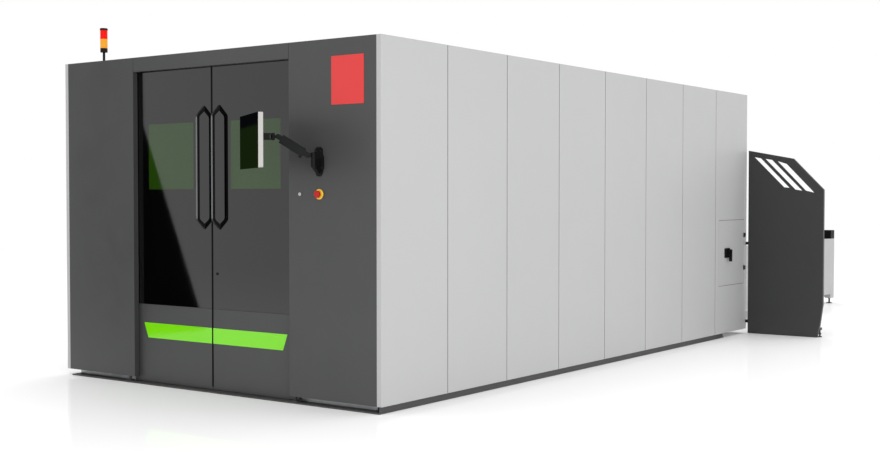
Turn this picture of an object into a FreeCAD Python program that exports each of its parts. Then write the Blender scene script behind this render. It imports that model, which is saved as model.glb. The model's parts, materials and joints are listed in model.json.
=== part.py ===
import FreeCAD, Part
import math
import os

# Fibre laser cutting machine: closed cabin with two sliding doors at the front,
# gantry and cutting head inside, pallet exchange table at the rear.
# Working frame while modelling: X = 0 on the centre line, Y = 0 at the front
# faces of the front columns, +Y towards the exchange table, Z = 0 on the floor.
# Every solid is shifted by -ORIGIN_Y along Y before export, which puts the
# origin under the centre of the whole machine.

V = FreeCAD.Vector

# ------------------------------------------------------------ driving sizes
ORIGIN_Y = 4345.0          # working Y of the row's origin

CAB_HALF = 1432.0          # cabin half width over the side panels
CAB_LEN = 5420.0           # cabin length
CAB_TOP = 2200.0           # cabin height
SKIRT_Z = 40.0             # lower edge of panels and columns
PANEL_T = 35.0             # depth of a side panel
SKIN = 2.0                 # sheet thickness of panels
SEAM = 6.0                 # open seam between panels
FIRST_PANEL = 660.0        # width of the foremost side panel
MID_PANEL = 676.5          # width of the six middle side panels
CORNER_R = 6.0             # rounded front outer corner

DARK_HALF = 1397.0         # half width of the dark front
COL_IN = 711.0             # inner edge of a front column
COL_D = 38.0               # depth of a front column
HEAD_Z = 2103.5            # lower edge of the header
FRAME_X0, FRAME_X1 = 1357.0, 1397.0   # side frames

DOOR_Y0, DOOR_Y1 = 42.0, 82.0         # door leaf front and back
DOOR_IN, DOOR_OUT = 1.5, 750.0        # door leaf edges
DOOR_Z0, DOOR_Z1 = 12.0, 2125.0
GLASS_T = 5.0
KICK_Z = 536.0             # line between lower panel and glass
WIN_X0, WIN_X1 = 170.0, 604.0
WIN_Z0, WIN_Z1 = 1312.0, 1749.0
STRIPE_Z0, STRIPE_Z1 = 310.0, 411.0
STRIPE_BOT, STRIPE_TOP = 619.0, 657.0
LOCK_X, LOCK_Z, LOCK_R = 45.0, 765.0, 9.0

BAR_X0, BAR_X1 = 63.0, 77.0           # door handle bar
BAR_Y0, BAR_Y1 = -26.0, -6.0
BAR_Z0, BAR_Z1 = 1050.0, 1853.0       # where the handle meets the door
BAR_S0, BAR_S1 = 1110.0, 1789.0       # straight part

ESTOP_X, ESTOP_Z = 958.0, 1277.0
START_X, START_Z = 803.0, 1278.0
BADGE = (1055.0, 1304.0, 1808.0, 2096.0)

ARM_X, ARM_Y = 958.0, -52.0           # swivel axis of the monitor arm
ARM_Z = 1510.0
HEAD_PT = (792.6, -180.6, 1620.0)     # upper pivot of the arm
MON_N = (-0.552, -0.834)              # the way the screen faces
MON_W, MON_H, MON_T = 505.0, 320.0, 30.0
MON_FRONT_Y = -475.0                  # foremost corner of the monitor
MON_CX, MON_CZ = 702.0, 1588.0

TOWER_X, TOWER_Y = -1094.0, 70.0
ROOF_Z = 2192.0

PLATE_X0, PLATE_X1 = -1354.0, 1430.0  # base plate on the floor
PLATE_Y0, PLATE_Y1 = -18.0, 4920.0
PLATE_T = 8.0

BED_IN, BED_OUT = 820.0, 1100.0       # side beams of the machine bed
BED_Y0, BED_Y1 = 1080.0, 5120.0
BED_Z0, BED_Z1 = 60.0, 880.0
RAIL_X = 980.0
LEDGE_IN = 740.0
LEDGE_HI, LEDGE_LO = 700.0, 480.0     # upper and lower pallet levels
GANTRY_Y = 1500.0

PAL_HALF, PAL_LEN = 735.0, 3100.0
PAL_IN_Y = 1500.0
PAL_TRAVEL = 4200.0

TAB_Y0 = 5500.0
TAB_Y1 = 2 * ORIGIN_Y - MON_FRONT_Y   # rear end of the machine
POST_X0, POST_X1 = 895.0, 1000.0
POST_TOP = 766.0

SW_Y0, SW_Y1, SW_Z0, SW_Z1 = 4793.0, 5365.0, 464.0, 1053.0   # switch cabinet opening
HINGE_X, HINGE_Y = 1440.0, 5352.0

WING_Y = 5400.0
WING_T = 30.0

EXH_X, EXH_Z, EXH_R = -1120.0, 1300.0, 100.0

parts = {}


def box(x0, x1, y0, y1, z0, z1):
    a, b = min(x0, x1), max(x0, x1)
    return Part.makeBox(b - a, y1 - y0, z1 - z0, V(a, y0, z0))


def cyl(x, y, z, r, h, d=(0, 0, 1)):
    return Part.makeCylinder(r, h, V(x, y, z), V(*d))


def prism(points, direction):
    wire = Part.makePolygon([V(*p) for p in points] + [V(*points[0])])
    return Part.Face(wire).extrude(V(*direction))


def union(*shapes):
    s = shapes[0]
    for t in shapes[1:]:
        s = s.fuse(t)
    return s.removeSplitter()


def mirror_x(shape):
    return shape.mirror(V(0, 0, 0), V(1, 0, 0))


def group(shapes):
    return Part.makeCompound(shapes)


# ------------------------------------------------------------- base plate
parts["base_plate"] = group([box(PLATE_X0, PLATE_X1, PLATE_Y0, PLATE_Y1, 0, PLATE_T),
                             box(1422, 1428, -12, 4900, PLATE_T, SKIRT_Z - 0.3)])   # kick board on the right

# ------------------------------------------------------------ side frames
seams = [0.0, FIRST_PANEL] + [FIRST_PANEL + MID_PANEL * i for i in range(1, 7)] + [CAB_LEN]


def side_frame(last, foot_z, feet):
    """Top and bottom rail with posts between them, each tube its own solid."""
    solids = [box(FRAME_X0, FRAME_X1, COL_D, last, 2130, 2180),
              box(FRAME_X0, FRAME_X1, COL_D, last, 45, 95),
              box(FRAME_X0, FRAME_X1, COL_D, 98, 95, 2130),
              box(FRAME_X0, FRAME_X1, last - 50, last, 95, 2130)]
    for y in seams[1:-1]:
        if y + 80 < last:
            solids.append(box(FRAME_X0, FRAME_X1, y - 25, y + 25, 95, 2130))
    for y in feet:
        solids.append(box(FRAME_X0, FRAME_X1, y - 40, y + 40, foot_z, 45))
    return group(solids)


parts["side_frame_right"] = side_frame(4744.0, PLATE_T, (330.0, 1200.0, 2100.0, 3000.0, 3900.0, 4700.0))
parts["side_frame_left"] = mirror_x(side_frame(5385.0, 0.0, (420.0, 1300.0, 2200.0, 3100.0, 4000.0, 5340.0)))


# ------------------------------------------------------------ side panels
def panel(y0, y1, rounded=False):
    outer = box(DARK_HALF, CAB_HALF, y0, y1, SKIRT_Z, CAB_TOP)
    if rounded:
        edges = [e for e in outer.Edges
                 if abs(e.BoundBox.XLength) < 1e-6 and abs(e.BoundBox.YLength) < 1e-6
                 and abs(e.BoundBox.XMin - CAB_HALF) < 1e-6 and abs(e.BoundBox.YMin - y0) < 1e-6]
        outer = outer.makeFillet(CORNER_R, edges)
    inner = box(DARK_HALF - 1, CAB_HALF - SKIN - (CORNER_R if rounded else 0),
                y0 + SKIN + (CORNER_R if rounded else 0), y1 - SKIN, SKIRT_Z + SKIN, CAB_TOP - SKIN)
    return outer.cut(inner)


right = []
for i in range(7):
    y0 = seams[i] + (SEAM / 2 if i else 0)
    right.append(panel(y0, seams[i + 1] - SEAM / 2, rounded=(i == 0)))
last_panel = panel(seams[7] + SEAM / 2, CAB_LEN)
parts["side_panels_right"] = group(right)
parts["side_panels_left"] = group([mirror_x(p) for p in right + [last_panel]])
frame_ring = box(DARK_HALF, CAB_HALF, SW_Y0 - SKIN, SW_Y1 + SKIN, SW_Z0 - SKIN, SW_Z1 + SKIN)
sw_hole = box(DARK_HALF - 1, CAB_HALF + 1, SW_Y0, SW_Y1, SW_Z0, SW_Z1)
parts["side_panel_right_rear"] = last_panel.fuse(frame_ring).cut(sw_hole).removeSplitter()


# ------------------------------------------------- front columns and header
def tray(x0, x1, z0, z1, t=2.5):
    outer = box(x0, x1, 0, COL_D, z0, z1)
    return outer.cut(box(x0 + t, x1 - t, t, COL_D + 1, z0 + t, z1 - t))


col_r = tray(COL_IN, DARK_HALF, SKIRT_Z, CAB_TOP)
col_r = col_r.cut(cyl(ESTOP_X, -1, ESTOP_Z, 12.0, 10, (0, 1, 0)))
col_r = col_r.cut(cyl(START_X, -1, START_Z, 8.0, 10, (0, 1, 0)))
parts["front_column_right"] = col_r
parts["front_column_left"] = mirror_x(tray(COL_IN, DARK_HALF, SKIRT_Z, CAB_TOP))
parts["front_header"] = tray(-COL_IN + 2.5, COL_IN - 2.5, HEAD_Z, CAB_TOP)

# -------------------------------------------------------------- roof, rear
roof = box(-1395, 1395, 40, 5383, 2180, ROOF_Z).cut(box(-1393, 1393, 42, 5381, 2179, ROOF_Z - 2))
parts["roof_panel"] = roof



def rear_tray(x0, x1, z0, z1):
    """Sheet-metal tray, open towards the exchange table."""
    outer = box(x0, x1, 5385, 5418, z0, z1)
    return outer.cut(box(x0 + 2.5, x1 - 2.5, 5388, 5419, z0 + 2.5, z1 - 2.5))


EDGE = DARK_HALF - 1
port = rear_tray(-EDGE, -861, 1101, 1499).cut(cyl(EXH_X, 5380, EXH_Z, EXH_R + 0.5, 20, (0, 1, 0)))
parts["rear_wall"] = group([
    rear_tray(-EDGE, -861, 45, 1100), port, rear_tray(-EDGE, -861, 1500, 2178),
    rear_tray(861, EDGE, 45, 1100), rear_tray(861, EDGE, 1101, 2178),
    rear_tray(-860, 860, 961, 2178), rear_tray(-860, 860, 45, 439)])

collar = cyl(EXH_X, 5370, EXH_Z, EXH_R, 145, (0, 1, 0))
collar = collar.fuse(cyl(EXH_X, 5388, EXH_Z, EXH_R + 25, 4, (0, 1, 0)))
collar = collar.cut(cyl(EXH_X, 5360, EXH_Z, EXH_R - 3, 170, (0, 1, 0)))
parts["extraction_collar"] = collar.removeSplitter()

# ------------------------------------------------------------ door track
track = box(-1356, 1356, 40, 86, 2132, 2180).cut(box(-1357, 1357, 43, 83, 2131, 2177))
for y0, y1 in ((40, 58), (68, 86)):
    track = track.fuse(box(-1356, 1356, y0, y1, 2132, 2134))
parts["door_top_track"] = track.removeSplitter()
parts["door_floor_guide"] = box(-1356, 1356, 59, 67, PLATE_T, 28).cut(
    box(-1400, PLATE_X0, 50, 80, 0, 40))


# ----------------------------------------------------------------- doors
def door_leaf():
    outer = box(DOOR_IN, DOOR_OUT, DOOR_Y0 + GLASS_T, DOOR_Y1, DOOR_Z0, DOOR_Z1)
    outer = outer.fuse(box(DOOR_IN, DOOR_OUT, DOOR_Y0, DOOR_Y1, DOOR_Z0, KICK_Z - 1))
    pocket = box(DOOR_IN + 2, DOOR_OUT - 2, DOOR_Y0 + GLASS_T + 2, DOOR_Y1 + 1, DOOR_Z0 + 30, DOOR_Z1 - 2)
    pocket = pocket.fuse(box(DOOR_IN + 2, DOOR_OUT - 2, DOOR_Y0 + 2, DOOR_Y1 + 1, DOOR_Z0 + 30, KICK_Z - 3))
    pocket = pocket.cut(box(WIN_X0 + 6, WIN_X1 - 6, DOOR_Y0, DOOR_Y1 + 2, WIN_Z0 + 6, WIN_Z1 - 6))
    leaf = outer.cut(pocket)
    leaf = leaf.cut(box(WIN_X0 + 10, WIN_X1 - 10, DOOR_Y0 - 1, DOOR_Y1 + 2, WIN_Z0 + 10, WIN_Z1 - 10))
    # groove for the floor guide and tongues that hang in the top track
    leaf = leaf.cut(box(DOOR_IN - 1, DOOR_OUT + 1, 58, 68, DOOR_Z0 - 1, DOOR_Z0 + 22))
    for x in (120.0, 560.0):
        leaf = leaf.fuse(box(x, x + 90, 60, 66, DOOR_Z1 - 2, 2165))
        leaf = leaf.fuse(cyl(x + 45, 50, 2152, 17.7, 26, (0, 1, 0)))
    return leaf.removeSplitter()


def door_glass():
    g = box(DOOR_IN, DOOR_OUT, DOOR_Y0, DOOR_Y0 + GLASS_T, KICK_Z + 1, DOOR_Z1)
    return g.cut(box(WIN_X0 - 0.5, WIN_X1 + 0.5, DOOR_Y0 - 1, DOOR_Y0 + GLASS_T + 1, WIN_Z0 - 0.5, WIN_Z1 + 0.5))


def door_window():
    return box(WIN_X0, WIN_X1, DOOR_Y0, DOOR_Y0 + GLASS_T, WIN_Z0, WIN_Z1)


def door_stripe():
    y = DOOR_Y0 - 1.5
    pts = [(DOOR_IN, y, STRIPE_Z0), (STRIPE_BOT, y, STRIPE_Z0), (STRIPE_TOP, y, STRIPE_Z1), (DOOR_IN, y, STRIPE_Z1)]
    return prism(pts, (0, 1.5, 0))


def door_handle():
    # flat bar bent back to the door at both ends
    dz = BAR_Z1 - BAR_S1
    leg = 24.0
    out = [(BAR_X0, DOOR_Y0, BAR_Z0), (BAR_X0, BAR_Y0, BAR_S0), (BAR_X0, BAR_Y0, BAR_S1), (BAR_X0, DOOR_Y0, BAR_Z1)]
    ins = [(BAR_X0, DOOR_Y0, BAR_Z1 - leg - 8), (BAR_X0, BAR_Y1, BAR_S1 - 8), (BAR_X0, BAR_Y1, BAR_S0 + 8),
           (BAR_X0, DOOR_Y0, BAR_Z0 + leg + 8)]
    s = prism(out + ins, (BAR_X1 - BAR_X0, 0, 0))
    bend = [e for e in s.Edges if abs(e.BoundBox.XLength - (BAR_X1 - BAR_X0)) < 1e-6
            and e.BoundBox.YMin < DOOR_Y0 - 5]
    for r in (26.0, 22.0, 18.0):
        try:
            t = s.makeFillet(r, bend)
            if t.isValid():
                return t
        except Exception:
            pass
    return s


LOCK_HOLE = cyl(LOCK_X, DOOR_Y0 - 5, LOCK_Z, LOCK_R + 0.08, 30, (0, 1, 0))
for side in ("right", "left"):
    f = (lambda s: s) if side == "right" else mirror_x
    leaf, glass = door_leaf(), door_glass()
    if side == "right":
        leaf, glass = leaf.cut(LOCK_HOLE), glass.cut(LOCK_HOLE)
    parts["door_leaf_" + side] = f(leaf)
    parts["door_glass_" + side] = f(glass)
    parts["door_window_" + side] = f(door_window())
    parts["door_stripe_" + side] = f(door_stripe())
    parts["door_handle_" + side] = f(door_handle())
lock = cyl(LOCK_X, DOOR_Y0 - 3, LOCK_Z, LOCK_R, 26, (0, 1, 0))
lock = lock.fuse(box(LOCK_X - 4, LOCK_X + 26, DOOR_Y0 + 19, DOOR_Y0 + 23, LOCK_Z - 7, LOCK_Z + 7))
lock = lock.cut(box(LOCK_X - 1.2, LOCK_X + 1.2, DOOR_Y0 - 4, DOOR_Y0 - 1, LOCK_Z - 5, LOCK_Z + 5))
parts["door_lock"] = lock.removeSplitter()

# -------------------------------------------------- front controls, badge
ring = cyl(ESTOP_X, -5, ESTOP_Z, 31, 5, (0, 1, 0)).fuse(
    Part.makeCone(26, 31, 3, V(ESTOP_X, -8, ESTOP_Z), V(0, 1, 0)))
ring = ring.cut(cyl(ESTOP_X, -12, ESTOP_Z, 11.1, 20, (0, 1, 0)))
parts["estop_collar"] = ring.removeSplitter()
mush = cyl(ESTOP_X, -26, ESTOP_Z, 22.5, 8, (0, 1, 0)).fuse(
    Part.makeCone(15, 22.5, 5, V(ESTOP_X, -31, ESTOP_Z), V(0, 1, 0)))
mush = mush.fuse(Part.makeCone(22.5, 14, 3, V(ESTOP_X, -18, ESTOP_Z), V(0, 1, 0)))
mush = mush.fuse(cyl(ESTOP_X, -16, ESTOP_Z, 11.0, 34, (0, 1, 0)))
parts["estop_button"] = mush.removeSplitter()
start = cyl(START_X, -6, START_Z, 10.5, 3.2, (0, 1, 0)).fuse(cyl(START_X, -3, START_Z, 7.9, 23, (0, 1, 0)))
parts["start_button"] = start.removeSplitter()
parts["badge_plate"] = box(BADGE[0], BADGE[1], -2, 0, BADGE[2], BADGE[3])

# ---------------------------------------------------------- signal tower
parts["tower_pole"] = cyl(TOWER_X, TOWER_Y, ROOF_Z, 27, 5).fuse(
    cyl(TOWER_X, TOWER_Y, ROOF_Z, 8.75, 76)).removeSplitter()
parts["tower_base"] = cyl(TOWER_X, TOWER_Y, ROOF_Z + 76, 25, 28)
parts["tower_lens_amber"] = cyl(TOWER_X, TOWER_Y, ROOF_Z + 104, 25, 64)
parts["tower_lens_red"] = cyl(TOWER_X, TOWER_Y, ROOF_Z + 168, 25, 61)
cap = cyl(TOWER_X, TOWER_Y, ROOF_Z + 229, 27, 14)
cap = cap.makeFillet(4, [e for e in cap.Edges if abs(e.BoundBox.ZMin - (ROOF_Z + 243)) < 1e-6
                         and e.BoundBox.ZLength < 1e-6])
parts["tower_cap"] = cap

# ------------------------------------------------------------ monitor arm
dx, dy = HEAD_PT[0] - ARM_X, HEAD_PT[1] - ARM_Y
reach = math.hypot(dx, dy)
A = V(dx / reach, dy / reach, 0)           # the arm's horizontal direction
P = V(A.y, -A.x, 0)                        # lift axis, across the arm
UP = V(0, 0, 1)
S0 = V(ARM_X, ARM_Y, ARM_Z)
L0 = S0 + A * 34
K0 = V(*HEAD_PT)


def slab(origin, along, up, across, a0, a1, u0, u1, c0, c1):
    """Box in a local frame with three perpendicular unit directions."""
    pts = []
    for a, u in ((a0, u0), (a1, u0), (a1, u1), (a0, u1)):
        p = origin + along * a + up * u + across * c0
        pts.append((p.x, p.y, p.z))
    d = across * (c1 - c0)
    return prism(pts, (d.x, d.y, d.z))


def pin(origin, direction, r, l0, l1):
    p = origin + direction * l0
    return Part.makeCylinder(r, l1 - l0, p, direction)


plate = prism([(924, -9, 1440), (940, -9, 1392), (950, -9, 1384), (966, -9, 1384), (978, -9, 1392),
               (996, -9, 1436), (996, -9, 1500), (986, -9, 1516), (986, -9, 1546), (974, -9, 1559), (944, -9, 1559),
               (932, -9, 1548), (924, -9, 1528)], (0, 9, 0))
web = prism([(946, -9, 1396), (946, -60, 1440), (946, -60, 1482), (946, -9, 1482)], (24, 0, 0))
plate = plate.fuse(web).fuse(cyl(ARM_X, ARM_Y, 1438, 17, 44))
plate = plate.fuse(cyl(ARM_X, ARM_Y, 1481, 9, 46))
parts["arm_wall_plate"] = plate.removeSplitter()

shoulder = cyl(ARM_X, ARM_Y, 1482.4, 16.5, 43)
shoulder = shoulder.fuse(slab(S0, A, UP, P, 0, 34, -13, 13, -9, 9))
shoulder = shoulder.fuse(pin(L0, P, 13, -9, 9))
shoulder = shoulder.cut(cyl(ARM_X, ARM_Y, 1480, 9.06, 60))
shoulder = shoulder.cut(pin(L0, P, 6.05, -20, 20))
parts["arm_shoulder"] = shoulder.removeSplitter()

LD = (K0 - L0)
link_len = LD.Length
LU = LD * (1.0 / link_len)                 # along the link
LN = P.cross(LU)                           # across the link, in its plane
if LN.z < 0:
    LN = LN * -1.0
body = slab(L0, LU, LN, P, 26, link_len - 22, -29, 26, -17, 17)
body = body.makeFillet(8.0, [e for e in body.Edges if e.Length > link_len - 60])
ears = []
for c0, c1 in ((9.3, 17.0), (-17.0, -9.3)):
    ears.append(pin(L0, P, 16, c0, c1))
    ears.append(slab(L0, LU, LN, P, 0, 30, -16, 16, c0, c1))
    ears.append(pin(K0, P, 15, c0, c1))
    ears.append(slab(K0, LU, LN, P, -26, 0, -15, 15, c0, c1))
link = body
for e in ears:
    link = link.fuse(e)
link = link.fuse(pin(L0, P, 6.0, -18, 18)).fuse(pin(K0, P, 6.0, -18, 18))
knob = Part.makeCylinder(8, 12, L0 + LU * 36 - LN * 26, LN * -1.0)
link = link.fuse(knob)
parts["arm_link"] = link.removeSplitter()

H = V(MON_N[0], MON_N[1], 0)
H = H * (1.0 / H.Length)                   # from the arm's head to the screen
Y0 = K0 + A * 32                           # head swivel axis
knuckle = pin(K0, P, 12, -9, 9)
knuckle = knuckle.fuse(slab(K0, A, UP, P, 0, 32, -9, 9, -9, 9))
knuckle = knuckle.fuse(Part.makeCylinder(13, 22, Y0 - UP * 11, UP))
knuckle = knuckle.cut(pin(K0, P, 6.05, -20, 20))
knuckle = knuckle.fuse(Part.makeCylinder(6, 44, Y0 - UP * 22, UP))
parts["arm_knuckle"] = knuckle.removeSplitter()

MW2 = MON_W / 2
SIDE = V(-H.y, H.x, 0)                     # along the screen's width
if SIDE.x < 0:
    SIDE = SIDE * -1.0
mon_cy = MON_FRONT_Y - SIDE.y * MW2        # the right front corner is foremost
MC = V(MON_CX, mon_cy, MON_CZ)             # centre of the screen face
back = MC - H * MON_T                      # centre of the housing's back
gap = (back - Y0).dot(H)                   # from swivel axis to the housing
bz = K0.z - MON_CZ
off = (Y0 - back).dot(SIDE)
bracket = None
for s in (-1, 1):
    b = Part.makeCylinder(12, 8.6, Y0 + UP * (11.4 if s > 0 else -20.0), UP)
    b = b.fuse(slab(Y0, H, UP, SIDE, 0, gap - 5, 11.4 if s > 0 else -20.0, 20.0 if s > 0 else -11.4, -11, 11))
    bracket = b if bracket is None else bracket.fuse(b)
bracket = bracket.fuse(slab(Y0, H, UP, SIDE, 20, gap - 5, -20, 20, -11, 11))
bracket = bracket.fuse(slab(back, H * -1.0, UP, SIDE, 0, 6, -52, 58, off - 55, off + 55))
bracket = bracket.cut(Part.makeCylinder(6.06, 80, Y0 - UP * 40, UP))
parts["vesa_bracket"] = bracket.removeSplitter()

house = slab(back, H, UP, SIDE, 0, MON_T - 1.5, -MON_H / 2 + 3, MON_H / 2 - 1, -MW2, MW2)
house = house.makeFillet(5.0, [e for e in house.Edges if abs(e.Length - (MON_T - 1.5)) < 1e-4])
house = house.cut(slab(back, H, UP, SIDE, 4, MON_T + 2, -MON_H / 2 + 7, MON_H / 2 - 5, -MW2 + 4, MW2 - 4))
parts["monitor_housing"] = house
screen = slab(back, H, UP, SIDE, MON_T - 8, MON_T - 1.5, -MON_H / 2 + 7.2, MON_H / 2 - 5.2, -MW2 + 4.2, MW2 - 4.2)
screen = screen.fuse(slab(back, H, UP, SIDE, MON_T - 1.5, MON_T, -MON_H / 2, MON_H / 2, -MW2, MW2))
parts["monitor_screen"] = screen.removeSplitter()

# ---------------------------------------------------------- levelling feet


def foot(x, y, z0, z1, r=31.0, m=8.0, pad=15.0):
    s = cyl(x, y, z0, r, 5).fuse(Part.makeCone(r, 14, 6, V(x, y, z0 + 5), V(0, 0, 1)))
    s = s.fuse(cyl(x, y, z0 + 8, m, z1 - z0 - 8))
    s = s.fuse(cyl(x, y, z1 - 8, pad, 8))
    return s.removeSplitter()


feet = [foot(-767, 11, PLATE_T, SKIRT_Z, 28.0, pad=10.0), foot(749, 11, PLATE_T, SKIRT_Z, 28.0, pad=10.0)]
post_ys = ((TAB_Y0 + 20, TAB_Y0 + 140), (7270.0, 7370.0), (TAB_Y1 - 120, TAB_Y1))
for sx in (-1, 1):
    for y0, y1 in post_ys:
        feet.append(foot(sx * 966.0, (y0 + y1) / 2, 0, 62.0, 34.0, 10.0))
parts["levelling_feet"] = group(feet)


# ----------------------------------------------------- pallets and rails
def pallet(y0, ledge):
    """Frame, slats and six wheels; the wheels stand on the ledge at this level."""
    z = ledge + 12
    solids = [box(-PAL_HALF, -PAL_HALF + 60, y0, y0 + PAL_LEN, z, z + 60),
              box(PAL_HALF - 60, PAL_HALF, y0, y0 + PAL_LEN, z, z + 60),
              box(-PAL_HALF + 60, PAL_HALF - 60, y0, y0 + 60, z, z + 60),
              box(-PAL_HALF + 60, PAL_HALF - 60, y0 + PAL_LEN - 60, y0 + PAL_LEN, z, z + 60)]
    n = 24
    for i in range(n):
        y = y0 + 90 + (PAL_LEN - 180) * i / (n - 1)
        solids.append(box(-PAL_HALF + 60, PAL_HALF - 60, y - 2, y + 2, z + 20, z + 150))
    for sx in (-1, 1):
        for y in (y0 + 200, y0 + PAL_LEN / 2, y0 + PAL_LEN - 200):
            x = PAL_HALF if sx > 0 else -PAL_HALF - 32
            solids.append(cyl(x, y, ledge + 30.3, 30, 32, (1, 0, 0)))
    return group(solids)


parts["pallet_inner"] = pallet(PAL_IN_Y, LEDGE_HI)
parts["pallet_outer"] = pallet(PAL_IN_Y + PAL_TRAVEL, LEDGE_LO)


def ledges(y0, y1, wall):
    out = []
    for top in (LEDGE_HI, LEDGE_LO):
        out.append(box(LEDGE_IN, wall, y0, y1, top - 10, top))
    return out


# --------------------------------------------------------------- bed
# Each side beam is welded from four plates; ledges carry the pallets' wheels.
half = [box(BED_IN, BED_OUT, BED_Y0, BED_Y1, BED_Z0, BED_Z0 + 12),
        box(BED_IN, BED_OUT, BED_Y0, BED_Y1, BED_Z1 - 12, BED_Z1),
        box(BED_IN, BED_IN + 12, BED_Y0, BED_Y1, BED_Z0 + 12, BED_Z1 - 12),
        box(BED_OUT - 12, BED_OUT, BED_Y0, BED_Y1, BED_Z0 + 12, BED_Z1 - 12)]
half += ledges(BED_Y0, BED_Y1, BED_IN)
for y in (1200.0, 2400.0, 3600.0, 4800.0):
    half.append(cyl(960, y, PLATE_T, 60, BED_Z0 - PLATE_T))
bed = half + [mirror_x(s) for s in half]
for y0 in (BED_Y0, BED_Y1 - 120):
    bed.append(box(-BED_IN, BED_IN, y0, y0 + 120, BED_Z0, 400))
parts["machine_bed"] = group(bed)
rail = box(RAIL_X - 17.5, RAIL_X + 17.5, BED_Y0 + 20, BED_Y1 - 20, BED_Z1, BED_Z1 + 35)
parts["gantry_rails"] = group([rail, mirror_x(rail)])

# ----------------------------------------------- gantry, carriage, head
gy = GANTRY_Y
beam = box(-1118, 1118, gy - 120, gy + 120, 960, 1220).cut(
    box(-1119, 1119, gy - 112, gy + 112, 968, 1212))
truck = box(RAIL_X - 60, RAIL_X + 60, gy - 200, gy + 200, 915.3, 960)
beam = beam.fuse(truck).fuse(mirror_x(truck))
for z in (1000.0, 1160.0):
    beam = beam.fuse(box(-1050, 1050, gy - 140, gy - 120, z, z + 20))
parts["gantry_beam"] = beam.removeSplitter()
car = box(-150, 150, gy - 190, gy - 145, 950, 1230)
for z in (1000.0, 1160.0):
    for x in (-130.0, 50.0):
        pad = box(x, x + 80, gy - 146, gy - 125, z - 18, z + 38)
        pad = pad.cut(box(x - 1, x + 81, gy - 140.5, gy - 120, z - 0.5, z + 20.5))
        car = car.fuse(pad)
for x in (-48.0, 28.0):
    car = car.fuse(box(x, x + 20, gy - 200, gy - 190, 960, 1220))
parts["cutting_carriage"] = car.removeSplitter()
head = box(-60, 60, gy - 290, gy - 200.4, 1040, 1300)
head = head.fuse(cyl(0, gy - 245, 980, 32, 60))
head = head.fuse(Part.makeCone(7, 28, 40, V(0, gy - 245, 940), V(0, 0, 1)))
head = head.fuse(Part.makeCone(3, 7, 15, V(0, gy - 245, 925), V(0, 0, 1)))
parts["cutting_head"] = head.removeSplitter()

# ------------------------------------------------------- exchange table
half = ledges(TAB_Y0, TAB_Y1, 820)
half.append(box(820, 860, TAB_Y0, TAB_Y1, 440, 720))
for y0, y1 in post_ys:
    post = box(POST_X0, POST_X1, y0, y1, 62, POST_TOP)
    wedge = prism([(POST_X0 - 1, y0 - 1, 61), (POST_X0 + 45, y0 - 1, 61), (POST_X0 - 1, y0 - 1, 112)],
                  (0, y1 - y0 + 2, 0))
    half.append(post.cut(wedge))
    half.append(box(860, POST_X0, y0, y1, 480, 700))
table = half + [mirror_x(s) for s in half]
for y0, y1 in (post_ys[0], post_ys[2]):
    table.append(box(-POST_X0, POST_X0, y0 + 20, y1 - 20, 150, 250))
for sx in (-1, 1):                         # side covers between the posts
    for (_, y0), (y1, _) in zip(post_ys, post_ys[1:]):
        table.append(box(sx * (POST_X1 - 4), sx * POST_X1, y0, y1, 110, POST_TOP))
parts["shuttle_table_frame"] = group(table)
blocks = []
for sx in (-1, 1):
    for y0, y1 in (post_ys[0], post_ys[2]):
        b = box(sx * POST_X0, sx * POST_X1, y0, y1, POST_TOP, POST_TOP + 100)
        b = b.makeFillet(6, [e for e in b.Edges if abs(e.BoundBox.ZMin - (POST_TOP + 100)) < 1e-6])
        blocks.append(b)
parts["shuttle_end_blocks"] = group(blocks)

# --------------------------------------------------------- switch cabinet
cab = box(1130, DARK_HALF, SW_Y0, SW_Y1, SW_Z0, SW_Z1).cut(
    box(1132, DARK_HALF + 1, SW_Y0 + 2, SW_Y1 - 2, SW_Z0 + 2, SW_Z1 - 2))
parts["switch_cabinet_box"] = cab
door = box(1412, 1431.4, SW_Y0 + 3, SW_Y1 - 3, SW_Z0 + 3, SW_Z1 - 3)
door = door.cut(box(1411, 1429.4, SW_Y0 + 5, SW_Y1 - 5, SW_Z0 + 5, SW_Z1 - 5))
door = door.cut(cyl(1420, 4990, 757, 10.5, 20, (1, 0, 0)))
parts["switch_cabinet_door"] = door
hinges = []
for z in (589.0, 890.0):
    h = cyl(HINGE_X, HINGE_Y, z, 6, 40).fuse(box(CAB_HALF, CAB_HALF + 3, HINGE_Y, 5400, z + 4, z + 36))
    h = h.fuse(box(CAB_HALF, HINGE_X, HINGE_Y, HINGE_Y + 4, z + 4, z + 36))
    hinges.append(h.removeSplitter())
parts["switch_hinges"] = group(hinges)
base = box(1431.4, 1442, 4920, 5020, 715, 800)
base = base.makeFillet(4, [e for e in base.Edges if abs(e.Length - 10.6) < 1e-6])
base = base.cut(cyl(1425, 4990, 757, 10.5, 30, (1, 0, 0)))
parts["switch_base"] = base
hnd = cyl(1442.3, 4990, 757, 24, 16, (1, 0, 0)).fuse(cyl(1425, 4990, 757, 10.4, 20, (1, 0, 0)))
a = math.radians(-90)
u, w = V(0, math.cos(a), math.sin(a)), V(0, -math.sin(a), math.cos(a))
grip = slab(V(1450, 4990, 757), u, w, V(1, 0, 0), -33, 76, -12, 12, 0, 22)
grip = grip.makeFillet(5, [e for e in grip.Edges if abs(e.Length - 22) < 1e-6])
parts["switch_handle"] = hnd.fuse(grip).removeSplitter()

# ------------------------------------------------------------ guard wings
outline = [(1458, 0), (2108, 0), (2133, 104), (2160, 298), (2160, 1324), (2148, 1336), (1880, 1606), (1458, 1686)]
slots = [[(1517, 1625), (1577, 1613), (1847, 1343), (1797, 1348)],
         [(1621, 1608), (1683, 1597), (1965, 1317), (1902, 1327)],
         [(1736, 1585), (1819, 1559), (2075, 1299), (1999, 1317)]]


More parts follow.
